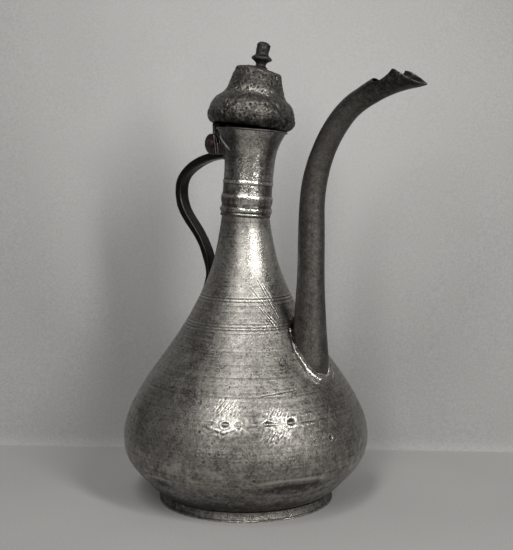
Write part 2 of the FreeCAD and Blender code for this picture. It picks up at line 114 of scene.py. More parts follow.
def turn_from(angles, degrees):
    """Angles measured from a place that many degrees round from the front, between -pi and pi."""
    return (angles - FRONT - math.radians(degrees) + math.pi) % (2 * math.pi) - math.pi


def off_lit_front(angles, middle, half, fade):
    """0 on the front that faces the camera, within half degrees of its middle, rising to 1 over the next
    fade degrees.
    It places painted shade on the sides and back.
    """
    aside = np.abs(turn_from(angles, middle))
    return np.clip((aside - math.radians(half)) / math.radians(fade), 0, 1)


def raised(lift):
    """A move straight up by that much at each spot."""
    return np.stack([0 * lift, 0 * lift, lift], axis=-1)


def mark_wear_and_painted_light(mesh, full, plain=(0, 0), grime_and_painted_light=0.0):
    """Stores how far each point stands out of its neighbours: 1 on rubbed edges, -1 in soiled hollows.
    Heights within plain are hidden butts, with no rubbing or soil of their own.
    grime_and_painted_light is soil and painted shade that lies on a point besides, or below zero how far it
    is rubbed or lit by a painted highlight."""
    rounds = 2
    count = len(mesh.vertices)
    spots = np.zeros(count * 3)
    mesh.vertices.foreach_get("co", spots)
    spots = spots.reshape(-1, 3)
    normals = np.zeros(count * 3)
    mesh.vertices.foreach_get("normal", normals)
    ends = np.zeros(len(mesh.edges) * 2, dtype=int)
    mesh.edges.foreach_get("vertices", ends)
    one, two = ends.reshape(-1, 2).T
    links = np.bincount(np.concatenate([one, two]), minlength=count)
    mean = spots
    for _ in range(rounds):
        mean = np.column_stack([
            np.bincount(one, mean[two, i], count) + np.bincount(two, mean[one, i], count) for i in range(3)
        ]) / np.maximum(links, 1)[:, None]
    proud = ((spots - mean) * normals.reshape(-1, 3)).sum(axis=1)
    proud = np.clip((proud - np.median(proud)) / full, -1, 1)
    proud[(spots[:, 2] > plain[0]) & (spots[:, 2] < plain[1])] = 0
    proud = np.clip(proud - grime_and_painted_light, -1, 1)
    mesh.attributes.new("wear_and_painted_light", "FLOAT", "POINT").data.foreach_set("value", proud.astype(np.float32))


def add_piece(name, mesh, finish, body, *nodes):
    """A finished mesh put on its CAD body in place of the CAD nodes it stands for."""
    piece = bpy.data.objects.new(name, mesh)
    bpy.context.scene.collection.objects.link(piece)
    mesh.materials.clear()
    mesh.materials.append(finish)
    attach(piece, body)
    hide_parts(*nodes)


def spun(outline, columns, place, relief, full_wear=0.05 * MM, plain=(0, 0), bend=None, stains_and_painted_light=None,
         crowd=0.0):
    """A closed turned sheet, its outside moved in or out by relief(spots, angles), all of it by bend(spots).
    Its inside is soiled all over, which is also painted shade under the lid's lip; its outside gets soil,
    painted shade and painted highlights from stains_and_painted_light(spots, angles).
    crowd sets its columns closer together at the front."""
    sharp = math.radians(55)
    outside, inside = outline
    loop = np.vstack([outside, inside])
    run = np.gradient(outside, axis=0)
    out = np.column_stack([run[:, 1], -run[:, 0]]) / np.linalg.norm(run, axis=1)[:, None]
    angles = np.linspace(-math.pi, math.pi, columns, endpoint=False)
    angles = angles - crowd * np.sin(angles - FRONT)
    ways = np.column_stack([np.cos(angles), np.sin(angles)])

    def around(line):
        flat = line[:, None, :1] * ways[None]
        return np.dstack([flat, np.broadcast_to(line[:, None, 1], flat.shape[:2])])

    spots = around(loop)
    rows = len(outside)
    # The inside rows are soiled all over: dirt, and painted shade under the lid's lip.
    grime_and_painted_light = np.ones(spots.shape[:2])
    grime_and_painted_light[:rows] = stains_and_painted_light(spots[:rows], angles) if stains_and_painted_light else 0
    spots[:rows] += around(out) * relief(spots[:rows], angles)[..., None]
    if bend:
        spots += bend(spots)
    index = np.arange(len(loop) * columns).reshape(len(loop), columns)
    above, beside = np.roll(index, -1, axis=0), np.roll(index, -1, axis=1)
    faces = np.stack([index, beside, np.roll(above, -1, axis=1), above], axis=-1).reshape(-1, 4)
    mesh = bpy.data.meshes.new("turned")
    mesh.from_pydata(spots.reshape(-1, 3).tolist(), [], faces.tolist())
    mesh.transform(place)
    mesh.shade_smooth()
    mesh.set_sharp_from_angle(angle=sharp)
    mark_wear_and_painted_light(mesh, full_wear, plain, grime_and_painted_light.ravel())
    return mesh


def put(tree, kind, wires=None, **settings):
    """A shader node with its settings, and each input set or joined to another node's output."""
    made = tree.nodes.new("ShaderNode" + kind)
    for name, value in settings.items():
        setattr(made, name, value)
    for name, value in (wires or {}).items():
        if isinstance(value, bpy.types.NodeSocket):
            tree.links.new(value, made.inputs[name])
        else:
            made.inputs[name].default_value = value
    return made


def remap(tree, value, old, new):
    """value carried from one range to another and held there."""
    return put(tree, "MapRange", {
        "Value": value, "From Min": old[0], "From Max": old[1], "To Min": new[0], "To Max": new[1],
    }).outputs["Result"]


def sum_of(tree, one, two):
    return put(tree, "Math", {0: one, 1: two}, operation="ADD").outputs["Value"]


def product(tree, one, two):
    return put(tree, "Math", {0: one, 1: two}, operation="MULTIPLY").outputs["Value"]


def mixture(tree, *parts):
    """Values added up, each times its share."""
    total = 0.0
    for value, share in parts:
        total = sum_of(tree, total, product(tree, value, share))
    return total


def blended(tree, share, one, two):
    mixed = put(tree, "Mix", {0: share, 6: one, 7: two}, data_type="RGBA")
    return mixed.outputs[2]


def aged_metal(name, slot, dull, rubbed, soil, shine, cloud, grain, grain_height, pit, pit_depth, pit_share,
               line=0.0, line_height=0.0, soot_and_shade=None, soot_and_shade_share=0.0):
    """Old metal: clouds of patina, soiled hollows, rubbed edges, and a skin of grain, pits and turned lines.
    The point attribute it reads also paints shade in the soil colour and paints highlights in the polish
    colour.
    Sizes are in mm. soot_and_shade is the height where a black film is thickest and the height where it
    ends;
    on the body near the foot it is smoke-blackening and painted shade, and on the lid's tail painted shade
    under the lid."""
    cloud, grain, pit = cloud * MM, grain * MM, pit * MM
    soil_in_pits, soil_and_shade_in_hollows, polish = 0.75, 0.8, 0.75
    line_tone, line_stretch = 0.22, 6.0
    finish = bpy.data.materials.new(name)
    finish["slot"] = slot
    finish.use_nodes = True
    tree = finish.node_tree
    tree.nodes.clear()
    place = put(tree, "TexCoord").outputs["Object"]

    def patches(where, scale, detail, roughness, distortion=0.0):
        return put(tree, "TexNoise", {
            "Vector": where, "Scale": scale, "Detail": detail,
            "Roughness": roughness, "Distortion": distortion,
        }).outputs["Fac"]

    clouds = patches(place, 1 / cloud, 7.0, 0.66, 0.6)
    specks = patches(place, 1 / grain, 3.0, 0.6)
    flecks = patches(place, 0.3 / grain, 6.0, 0.78, 0.3)
    blotches = patches(place, 4 / cloud, 5.0, 0.7)
    cells = put(tree, "TexVoronoi", {
        "Vector": place, "Scale": 1 / pit, "Randomness": 1.0,
    }).outputs["Distance"]
    widely = 0.3 * pit_share
    pitted_places = remap(tree, blotches, (0.62 - widely, 0.75 - widely), (0.0, 1.0))
    pits = product(tree, remap(tree, cells, (0.1, 0.34), (1.0, 0.0)), pitted_places)
    wear_and_painted_light = put(tree, "Attribute", attribute_name="wear_and_painted_light").outputs["Fac"]
    # Hollows hold real soil, and also painted shade laid on by the stains tables.
    hollow_soil_and_painted_shade = remap(tree, wear_and_painted_light, (-0.9, -0.1), (1.0, 0.0))
    # Edges are rubbed points, and also painted highlights where the stains tables go below zero.
    edge = remap(tree, wear_and_painted_light, (0.15, 0.9), (0.0, 1.0))
    grained = grain_height * MM
    height = mixture(tree, (specks, grained), (pits, -pit_depth * MM), (flecks, 2.2 * grained))
    tone = mixture(tree, (clouds, 0.17), (specks, 0.33), (blotches, 0.12), (flecks, 0.38))
    if line:
        squeezed = put(tree, "Mapping", {
            "Vector": place, "Scale": (line_stretch, line_stretch, 1 / (line * MM)),
        }).outputs["Vector"]
        lines = patches(squeezed, 1.0, 4.0, 0.75)
        height = mixture(tree, (height, 1.0), (lines, line_height * MM))
        tone = sum_of(tree, mixture(tree, (tone, 1.0), (lines, line_tone)), -line_tone / 2)
    colour = blended(tree, remap(tree, tone, (0.41, 0.6), (0.0, 1.0)), (*dull, 1), (*rubbed, 1))
    colour = blended(tree, product(tree, pits, soil_in_pits), colour, (*soil, 1))
    colour = blended(tree, product(tree, hollow_soil_and_painted_shade, soil_and_shade_in_hollows), colour, (*soil, 1))
    # The polish colour on edges is for rubbed metal and for painted highlights.
    polish_and_painted_highlight_colour = tuple(min(0.9, 1.5 * c) for c in rubbed)
    colour = blended(tree, product(tree, edge, polish), colour, (*polish_and_painted_highlight_colour, 1))
    # The black film is smoke-blackening; near the body's foot it is also painted shade, and on the lid's
    # tail it is painted shade under the lid.
    if soot_and_shade:
        thick, gone = soot_and_shade[0] * MM, soot_and_shade[1] * MM
        cloudy = product(tree, sum_of(tree, clouds, -0.5), 1.2 * abs(gone - thick))
        level = sum_of(tree, put(tree, "SeparateXYZ", {"Vector": place}).outputs["Z"], cloudy)
        film = product(tree, remap(tree, level, (thick, gone), (1.0, 0.0)), soot_and_shade_share)
        film = product(tree, film, remap(tree, flecks, (0.45, 0.6), (1.2, 0.4)))
        colour = blended(tree, film, colour, (*soil, 1))
    dullness = mixture(tree, (blotches, 1.0), (specks, 1.0), (pits, 1.0), (hollow_soil_and_painted_shade, 1.0), (edge, -0.22))
    rough = remap(tree, dullness, (0.84, 1.2), shine)
    bump = put(tree, "Bump", {"Height": height, "Strength": 1.0, "Distance": 1.0}).outputs["Normal"]
    metallic = remap(tree, flecks, (0.4, 0.62), (0.92, 1.0))
    shader = put(tree, "BsdfPrincipled", {
        "Base Color": colour, "Metallic": metallic, "Roughness": rough, "Normal": bump,
    })
    put(tree, "OutputMaterial", {"Surface": shader.outputs["BSDF"]})
    return finish


worn_foot = aged_metal(
    "worn_foot_finish", "tinned_copper",
    dull=(0.085, 0.078, 0.068), rubbed=(0.36, 0.343, 0.313), soil=(0.02, 0.018, 0.015),
    shine=(0.24, 0.55), cloud=20, grain=1.2, grain_height=0.2, pit=2.6, pit_depth=0.09, pit_share=0.7)


def foot_relief(spots, angles):
    return MM * waves(spots, FOOT_KNOCKS) - FOOT_INSET


def above_floor(spots):
    return raised(np.clip(FOOT_CLEAR - spots[..., 2], 0, None))


def foot_soil_and_painted_light(spots, angles):
    """Painted shade on the sides and back of the hoop, away from the front that faces the camera, and soil
    in patches.
    """
    return FOOT_SIDE_SHADE * off_lit_front(angles, *FOOT_LIT_FRONT) + waves(spots, FOOT_SOIL) - FOOT_BARE


foot = spun(section("foot_ring", Matrix(), FOOT_ROW), FOOT_COLUMNS, Matrix(), foot_relief, bend=above_floor,
            stains_and_painted_light=foot_soil_and_painted_light)
add_piece("foot_hoop", foot, worn_foot, "pot", "foot_ring")


# Base plate.
# A disc of copper sheet domed upwards, soldered inside the flange of the bowl.
# Only its underside shows, when the pot is tipped.

# Its black film, thickest at the foot and gone by the seam, is smoke-blackening and painted shade above the
# foot ring.
tinned_copper = aged_metal(
    "tinned_copper_finish", "tinned_copper",
    dull=(0.1, 0.092, 0.08), rubbed=(0.4, 0.38, 0.347), soil=(0.022, 0.0195, 0.0165),
    shine=(0.27, 0.5), cloud=48, grain=1.2, grain_height=0.14,
    pit=3.2, pit_depth=0.07, pit_share=0.5, line=1.1, line_height=0.07,
    soot_and_shade=(4, 75), soot_and_shade_share=0.25)


def hammered_copy(node, voxel, rounding, dents, full_wear=0.05 * MM, swell=None, bend=None):
    """A CAD piece's mesh made even and fine, its corners rounded and its skin dented.
    voxel is in mm, and dents holds the size and depth in mm of each kind.
    swell(spots) is how much thicker it is in places, and bend(spots) moves it."""
    weld, softness = 1e-6, 0.5
    blank = bpy.data.objects.new("blank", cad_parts[node].data.copy())
    bpy.context.scene.collection.objects.link(blank)
    welded = bmesh.new()
    welded.from_mesh(blank.data)
    bmesh.ops.remove_doubles(welded, verts=welded.verts, dist=weld)
    welded.to_mesh(blank.data)
    welded.free()
    even = blank.modifiers.new("even", "REMESH")
    even.mode = "VOXEL"
    even.voxel_size = voxel * MM
    rounded = blank.modifiers.new("rounded", "SMOOTH")
    rounded.factor = softness
    rounded.iterations = rounding
    bpy.context.view_layer.update()
    mesh = bpy.data.meshes.new_from_object(blank.evaluated_get(bpy.context.evaluated_depsgraph_get()))
    bpy.data.objects.remove(blank)
    count = len(mesh.vertices)
    spots, normals = np.zeros(count * 3), np.zeros(count * 3)
    mesh.vertices.foreach_get("co", spots)
    mesh.vertices.foreach_get("normal", normals)
    spots = spots.reshape(-1, 3)
    move = MM * waves(spots, [(depth, size, size) for size, depth in dents])
    if swell:
        move = move + swell(spots)
    spots = spots + normals.reshape(-1, 3) * move[:, None]
    spots = np.clip(spots, *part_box(node))
    if bend:
        spots = spots + bend(spots)
    mesh.vertices.foreach_set("co", spots.ravel())
    mesh.update()
    mesh.shade_smooth()
    mark_wear_and_painted_light(mesh, full_wear)
    return mesh


base = hammered_copy("base_plate", voxel=1.0, rounding=2, dents=[(14, 0.3), (5, 0.06)])
add_piece("base_disc", base, tinned_copper, "pot", "base_plate")


# Bowl and shoulder.
# Two raised shells of tinned copper sheet: a low bowl, and a pear-shaped shoulder drawn up into the neck.
# Lines were turned into the shoulder on a lathe; hammering and wear have left dents, pits and scratches.

BODY_COLUMNS = 420
BODY_CROWD = 0.55
BODY_INSET = 0.4 * MM
BOWL_ROW = 0.75 * MM
SHOULDER_ROW = 0.5 * MM
SLEEVE_LAP = 1.0 * MM
BUTT = 1.2 * MM  # half-height of the hidden butt of the two shells
GROOVE = 1.5 * MM  # half-height of the groove for the braze
step_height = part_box("neck_solder")[1].z - SLEEVE_LAP
seam_low, seam_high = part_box("belly_seam")
seam_height = (seam_low.z + seam_high.z) / 2
seam_butt = (seam_height - BUTT, seam_height + BUTT)
BODY_DENTS = [(0.36, 62, 1.3), (0.18, 21, 5.9), (0.035, 4.5, 2.2)]
LINE_WANDER = [(0.7, 90, 8.4)]
LINE_DEEPER = 1.15  # all the turned lines are cut this much deeper than listed
# Turned lines: height, depth, half-width
TURNED_LINES = [
    (155.4, 0.17, 0.5), (153.2, 0.15, 0.45), (150.6, 0.05, 0.4), (146.0, 0.04, 0.4), (141.5, 0.05, 0.4),
    (138.2, 0.07, 0.4), (136.0, 0.1, 0.45), (134.2, 0.08, 0.4), (131.8, 0.05, 0.4), (127.5, 0.03, 0.4),
    (120.0, 0.04, 0.45), (112.0, 0.04, 0.5), (104.0, 0.06, 0.55), (97.5, 0.03, 0.45), (92.0, 0.05, 0.5),
]
# Lumps of braze under the skin, most of them at the front: degrees round, half-width and half-height
SEAM_FRONT, SEAM_FRONT_WIDE, SEAM_BAND = 8.0, 46 * MM, 7 * MM
SEAM_LUMPS = [(0.24, 6.5, 4.4), (0.1, 2.6, 6.1)]
SEAM_LUMPS_BEHIND = 0.2
# Hollows: degrees from the front, height, half-width, half-height, depth, and height of the rim around them
HOLLOWS = [
    (-9.7, 75.4, 2.4, 1.6, 1.0, 0.3), (-9.4, 74.2, 7.0, 4.2, 0.1, 0.05), (-3.6, 75.2, 2.2, 2.2, 0.25, 0.08),
    (-17.0, 76.2, 4.0, 1.0, 0.15, 0.05), (10.6, 75.6, 3.6, 1.3, 0.9, 0.15), (21.8, 76.2, 2.6, 2.0, 1.0, 0.2),
    (17.6, 74.0, 5.8, 4.4, 0.12, 0.07), (30.0, 76.6, 5.5, 2.4, 0.12, 0.1), (41.0, 62.5, 1.7, 1.6, 0.8, 0.3),
    (21.0, 30.0, 25.0, 5.0, 1.3, 0.25), (-44.0, 27.0, 13.0, 4.0, 0.7, 0.12),
    (70.0, 40.0, 16.0, 10.0, 0.7, 0.1), (-75.0, 62.0, 14.0, 9.0, 0.6, 0.1),
    (150.0, 70.0, 18.0, 11.0, 0.9, 0.1), (-140.0, 45.0, 15.0, 10.0, 0.8, 0.1),
]
HOLLOW_STEEP = 1.4
RIM_AT, RIM_WIDE = 1.35, 0.35  # in half-widths of the hollow
SMALL_HOLLOW = 12  # narrower ones have torn edges
TORN_EDGES = [(0.5, 3.2, 2.7), (0.3, 7, 5.2)]
# Scaly places where strokes lie side by side: degrees from the front, height, half-width, half-height
SCALES = [
    (-11.0, 86.0, 12.0, 7.0), (15.0, 82.0, 10.0, 3.6), (14.0, 67.5, 11.0, 5.0), (26.0, 138.0, 8.0, 16.0),
]
STROKE_HEIGHT, STROKE_SIZE, STROKE_LEAN, STROKE_SHORT, STROKE_SHIFT = 0.15 * MM, 1.4 * MM, 0.8, 0.5, 6.6
# Scratches, or ridges where the depth is below zero: degrees and height at each end, depth, half-width
SCRATCHES = [
    (8.0, 92.6, 42.0, 95.2, 0.08, 0.4), (18.0, 168.0, 33.0, 142.0, 0.14, 0.4),
    (24.0, 165.0, 37.0, 146.0, 0.12, 0.4), (14.0, 150.0, 30.0, 134.0, 0.12, 0.4),
    (20.0, 147.0, 31.0, 137.0, 0.12, 0.4), (6.0, 163.0, 20.0, 150.0, 0.1, 0.4),
    (-40.0, 118.0, -22.0, 99.0, 0.04, 0.45), (-20.0, 75.0, -9.0, 70.6, -0.1, 0.7),
    (-10.5, 70.6, -3.0, 74.6, -0.1, 0.7), (-64.0, 70.0, -50.0, 62.0, 0.05, 0.5),
    (50.0, 62.0, 62.0, 72.0, 0.05, 0.5),
]
SCRATCH_WANDER = [(0.3, 5, 9.3)]
BURR, BURR_AT = 0.5, 2  # its share of the depth, and how many half-widths out it lies
# Stains and painted shade, or rubbed places and painted highlights where the share is below zero: degrees,
# height, half-width, half-height, share
# Many are painted light: shadow and shade beside and above the foot ring, under the seam, at the belly's
# left and right edges, under the neck's collar and beside the spout, and highlights on the belly's front, on
# the marks at the seam and on the lower neck.
STAINS_AND_PAINTED_LIGHT = [
    (4.0, 65.0, 40.0, 8.0, 0.44), (-9.7, 75.4, 2.0, 1.3, 1.7), (21.8, 76.2, 2.3, 1.7, 1.6),
    (10.6, 75.6, 3.2, 1.1, 1.4), (3.5, 78.0, 5.0, 8.0, 0.42), (36.0, 90.0, 12.0, 7.0, -0.35),
    (-26.0, 69.0, 8.0, 16.0, 0.25), (-62.0, 74.0, 16.0, 18.0, 0.5), (80.0, 74.0, 8.0, 15.0, 0.3),
    (-58.0, 12.0, 26.0, 6.0, 1.0), (0.0, 12.0, 70.0, 5.0, 0.75), (21.0, 27.0, 27.0, 6.0, 0.65),
    (-44.0, 26.0, 12.0, 4.0, 0.4), (-10.0, 21.0, 20.0, 6.0, 0.3), (-20.0, 43.0, 40.0, 10.0, -0.4),
    (20.0, 44.0, 30.0, 7.0, -0.25), (-44.0, 108.0, 14.0, 26.0, -0.2), (-9.0, 75.0, 8.5, 5.0, -0.9),
    (18.0, 74.5, 7.0, 5.0, -0.6), (-10.0, 86.0, 11.0, 6.0, -0.45), (16.0, 67.5, 9.0, 4.0, -0.4),
    (15.0, 82.0, 9.0, 3.5, -0.2), (12.0, 20.0, 14.0, 3.0, -0.3), (13.0, 192.0, 14.0, 24.0, -0.85),
    (42.0, 186.0, 7.0, 20.0, -0.6), (8.0, 210.0, 30.0, 5.0, 0.45), (-34.0, 207.0, 6.0, 8.0, 0.5),
    (46.0, 145.0, 6.0, 11.0, 0.9), (120.0, 60.0, 30.0, 24.0, 0.4), (-150.0, 80.0, 26.0, 22.0, 0.4),
]
STAIN_BLUR = [(0.35, 11, 3.8)]
MOTTLED_BELOW, MOTTLED_OVER = 66 * MM, 16 * MM
MOTTLING = [(0.45, 6, 8.8), (0.4, 2.4, 1.6)]
BOWL_PITS = 130
SHOULDER_PITS = 65
PIT_DRAWN_IN = 1.3
PIT_TEAR = [(1.1, 1.5, 3.9)]


def bell(values, middle, half):
    """1 at the middle, fading smoothly to both sides."""
    return np.exp(-((values - middle) / half) ** 2)


def from_mark(spots, angles, degrees, up):
    """How far each spot lies around and above a mark on the body."""
    return turn_from(angles, degrees) * np.linalg.norm(spots[..., :2], axis=-1), spots[..., 2] - up * MM


def body_relief(spots, angles):
    height = spots[..., 2]
    radius = np.linalg.norm(spots[..., :2], axis=-1)
    move = MM * waves(spots, BODY_DENTS)
    wander = MM * waves(spots, LINE_WANDER)
    for line, depth, wide in TURNED_LINES:
        move -= LINE_DEEPER * depth * MM * bell(height, line * MM + wander, wide * MM)
    front = bell(from_mark(spots, angles, SEAM_FRONT, 0.0)[0], 0, SEAM_FRONT_WIDE)
    lumpy = bell(height, seam_height, SEAM_BAND) * (SEAM_LUMPS_BEHIND + (1 - SEAM_LUMPS_BEHIND) * front)
    move += lumpy * MM * waves(spots, SEAM_LUMPS)
    ragged = 1 + waves(spots, TORN_EDGES)
    for degrees, up, wide, tall, depth, rim in HOLLOWS:
        across, rise = from_mark(spots, angles, degrees, up)
        far = (across / (wide * MM)) ** 2 + (rise / (tall * MM)) ** 2
        far = far * ragged if wide < SMALL_HOLLOW else far
        move -= depth * MM * np.exp(-far * HOLLOW_STEEP)
        move += rim * MM * bell(np.sqrt(far), RIM_AT, RIM_WIDE)
    for degrees, up, wide, tall in SCALES:
        across, rise = from_mark(spots, angles, degrees, up)
        share = bell(across, 0, wide * MM) * bell(rise, 0, tall * MM)
        aside, along = across - STROKE_LEAN * rise, rise + STROKE_LEAN * across
        strokes = np.dstack([aside, STROKE_SHORT * along, 0 * rise])
        move += STROKE_HEIGHT * share * wobble(strokes, STROKE_SIZE, STROKE_SHIFT)
    wander = MM * waves(spots, SCRATCH_WANDER)
    for start, low, end, high, depth, wide in SCRATCHES:
        across, rise = from_mark(spots, angles, start, low)
        run = np.array([math.radians(end - start) * radius.mean(), (high - low) * MM])
        share = np.clip((across * run[0] + rise * run[1]) / (run @ run), 0, 1)
        far = np.hypot(across - share * run[0], rise - share * run[1] + wander) / (wide * MM)
        move -= depth * MM * (bell(far, 0, 1) - BURR * bell(far, BURR_AT, 1))
    return move - BODY_INSET


# Soil, painted shade and painted highlights from the table, and mottling below the belly.
def body_stains_and_painted_light(spots, angles):
    share = np.zeros(spots.shape[:-1])
    blurred = waves(spots, STAIN_BLUR)
    for degrees, up, wide, tall, amount in STAINS_AND_PAINTED_LIGHT:
        across, rise = from_mark(spots, angles, degrees, up)
        far = (across / (wide * MM)) ** 2 + (rise / (tall * MM)) ** 2
        share += amount * np.clip(np.exp(-far) * (1 + blurred), 0, 1)
    low = np.clip((MOTTLED_BELOW - spots[..., 2]) / MOTTLED_OVER, 0, 1)
    return share + low * waves(spots, MOTTLING)


def with_pits(relief, outline, count, reach, depth, seed, spread=None):
    """The relief with pits scattered over the outline. reach and depth are the least and the most, in mm.
    spread turns an even share of the way up into the share where a pit lies."""
    dice = np.random.default_rng(seed)
    outside = outline[0]
    middles = []
    for _ in range(count):
        if spread:
            row = int(spread(dice.random()) * (len(outside) - 1))
        else:
            row = dice.integers(len(outside))
        turn = dice.uniform(-math.pi, math.pi)
        radius, height = outside[row]
        middles.append(np.array((radius * math.cos(turn), radius * math.sin(turn), height)))
    reaches = MM * dice.uniform(*reach, count)
    depths = MM * dice.uniform(*depth, count)

    def pitted(spots, angles):
        move = relief(spots, angles)
        torn = PIT_DRAWN_IN + waves(spots, PIT_TEAR)
        for middle, size, deep in zip(middles, reaches, depths):
            near = np.clip(1 - torn * ((spots - middle) ** 2).sum(axis=-1) / size ** 2, 0, 1)
            move = move - deep * near * near
        return move

    return pitted


bowl_line = section("lower_bowl", Matrix(), BOWL_ROW)
shoulder_line = section("upper_body", Matrix(), SHOULDER_ROW, low=seam_height, high=step_height)
# The two sheets were scraped flush over the groove that the braze lies in.
both = np.vstack([bowl_line[0], shoulder_line[0]])
clear = both[np.abs(both[:, 1] - seam_height) > GROOVE]
for line in (bowl_line[0], shoulder_line[0]):
    groove = np.abs(line[:, 1] - seam_height) <= GROOVE
    line[groove, 0] = np.interp(line[groove, 1], clear[:, 1], clear[:, 0])
bowl_relief = with_pits(body_relief, bowl_line, BOWL_PITS, reach=(0.9, 2.0), depth=(0.05, 0.2), seed=11)
bowl = spun(bowl_line, BODY_COLUMNS, Matrix(), bowl_relief, plain=seam_butt, stains_and_painted_light=body_stains_and_painted_light,
            crowd=BODY_CROWD)
add_piece("bowl_shell", bowl, tinned_copper, "pot", "lower_bowl")
shoulder_relief = with_pits(body_relief, shoulder_line, SHOULDER_PITS, reach=(0.8, 1.7),
                            depth=(0.04, 0.16), seed=12, spread=lambda share: share ** 2)
shoulder = spun(shoulder_line, BODY_COLUMNS, Matrix(), shoulder_relief, plain=seam_butt, stains_and_painted_light=body_stains_and_painted_light,
                crowd=BODY_CROWD)
add_piece("shoulder_shell", shoulder, tinned_copper, "pot", "upper_body")


# Belly seam.
# The bowl and the shoulder overlap here and are brazed; the bead was scraped nearly flush.
# It wanders a little, and the braze lies in small lumps.

brazed_seam = aged_metal(
    "brazed_seam_finish", "solder",
    dull=(0.2, 0.19, 0.175), rubbed=(0.6, 0.58, 0.55), soil=(0.04, 0.036, 0.03),
    shine=(0.26, 0.5), cloud=14, grain=1.0, grain_height=0.06, pit=1.6, pit_depth=0.08, pit_share=0.8)
SEAM_ROW = 0.25 * MM
SEAM_WANDER = [(0.2, 7, 2.9)]
BEAD_FRONT, BEAD_FRONT_WIDE = 6.0, 44 * MM  # degrees, and half-width
BEAD_SUNK = 2.1 * MM
BEAD_RAISED = 0.95 * MM  # how much less it is sunk at the front


def seam_relief(spots, angles):
    return MM * waves(spots, SEAM_WANDER)


def pressed_in(spots, depth):
    """A move by that depth towards the pot's axis."""
    share = depth / np.linalg.norm(spots[..., :2], axis=-1)
    return np.stack([-spots[..., 0] * share, -spots[..., 1] * share, 0 * share], axis=-1)


def scraped(spots):
    """The bead lies flush at the front and under the skin elsewhere."""
    angles = np.arctan2(spots[..., 1], spots[..., 0])
    front = bell(from_mark(spots, angles, BEAD_FRONT, 0.0)[0], 0, BEAD_FRONT_WIDE)
    return pressed_in(spots, BEAD_SUNK - BEAD_RAISED * front)


seam = spun(section("belly_seam", Matrix(), SEAM_ROW), BODY_COLUMNS, Matrix(), seam_relief, bend=scraped)
add_piece("seam_bead", seam, brazed_seam, "pot", "belly_seam")


# Neck sleeve, its solder and the mouth wire.
# A turned tube of tinned copper with a bead, a flat band and a ridge, slipped over the top of the shoulder.
# It leans a little, is sweated on with solder at its lower edge, and its mouth is turned over a wire.

NECK_COLUMNS = 260
NECK_ROW = 0.35 * MM
NECK_PITS = 110
NECK_DENTS = [(0.22, 17, 3.3), (0.1, 6, 1.8), (0.03, 2.4, 7.1)]
# Heights on the neck are in mm below its mouth.
RINGS_DENTED = [(0.28, 3.6, 2.6)]
RINGS_MIDDLE, RINGS_HALF = 57, 8
CREST, CREST_HALF, CREST_HEIGHT = 48.8, 2, 0.35 * MM
# Rings of soil, or rubbed ones where the share is below zero: height, half-height, share
NECK_RINGS = [(61.5, 4, 0.5), (8, 7, 0.3), (51, 4, 0.15), (33, 8, -0.25), (55.8, 0.9, 0.5), (61.3, 1.1, 0.5)]
NECK_LIT_FRONT = (4, 17, 22)  # degrees: middle of the lighter front that faces the camera, its half-width, and the fade beside it
NECK_BLUR = [(0.4, 9, 4.1)]
# painted shade on the sides and back, and a lightening all over
NECK_SIDE_SHADE, NECK_BARE = 1.2, 0.4
# less painted shade along the band, on the sides
BAND_LESS_SHADE, BAND_MIDDLE, BAND_HALF = 0.45, 49, 1.8
# A run of solder that slants down beside the hinge
RUN_ROUND, RUN_UP = -66, -9.6  # degrees from the front, and mm above the mouth
RUN_LONG, RUN_WIDE, RUN_HEIGHT = 6.5 * MM, 1.0 * MM, 1.5 * MM
RUN_SLANT = (0.69, 0.72)
# a painted highlight along the run of solder
RUN_PAINTED_HIGHLIGHT = 2.0
WIRE_ROW = 0.2 * MM
WIRE_DENTS = [(0.12, 9, 4.7)]
WIRE_INSET = 0.1 * MM

grey_solder = aged_metal(
    "grey_solder_finish", "solder",
    dull=(0.03, 0.028, 0.025), rubbed=(0.2, 0.19, 0.174), soil=(0.012, 0.011, 0.0095),
    shine=(0.45, 0.65), cloud=5, grain=1.1, grain_height=0.09, pit=1.8, pit_depth=0.1, pit_share=0.7)
neck_tin = aged_metal(
    "neck_tin_finish", "tinned_copper",
    dull=(0.12, 0.113, 0.101), rubbed=(0.62, 0.592, 0.543), soil=(0.012, 0.011, 0.0095),
    shine=(0.13, 0.33), cloud=22, grain=1.6, grain_height=0.16, pit=2.4, pit_depth=0.09, pit_share=0.6)
dull_wire = aged_metal(
    "dull_wire_finish", "tinned_copper",
    dull=(0.06, 0.058, 0.054), rubbed=(0.2, 0.195, 0.185), soil=(0.02, 0.018, 0.016),
    shine=(0.4, 0.65), cloud=12, grain=0.9, grain_height=0.05, pit=1.5, pit_depth=0.05, pit_share=0.6)


def axis_of(node):
    """Frame at the middle of a round CAD piece, with Z along its axis."""
    spots = np.array([v.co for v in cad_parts[node].data.vertices])
    middle = (spots.min(axis=0) + spots.max(axis=0)) / 2
    up = np.linalg.svd(spots - spots.mean(axis=0), full_matrices=False)[2][2]
    up = Vector(up if up[2] > 0 else -up)
    return Matrix.Translation(middle) @ Vector((0, 0, 1)).rotation_difference(up).to_matrix().to_4x4()


def beside_hinge(spots, angles):
    """Share of the run of solder beside the hinge."""
    across, rise = from_mark(spots, angles, RUN_ROUND, RUN_UP)
    along = RUN_SLANT[0] * across - RUN_SLANT[1] * rise
    aside = RUN_SLANT[1] * across + RUN_SLANT[0] * rise
    return np.exp(-(along / RUN_LONG) ** 4 - (aside / RUN_WIDE) ** 2)


def neck_relief(spots, angles):
    down = -spots[..., 2] / MM
    move = MM * waves(spots, NECK_DENTS)
    move += MM * bell(down, RINGS_MIDDLE, RINGS_HALF) * waves(spots, RINGS_DENTED)
    move += CREST_HEIGHT * bell(down, CREST, CREST_HALF)
    return move + RUN_HEIGHT * beside_hinge(spots, angles)


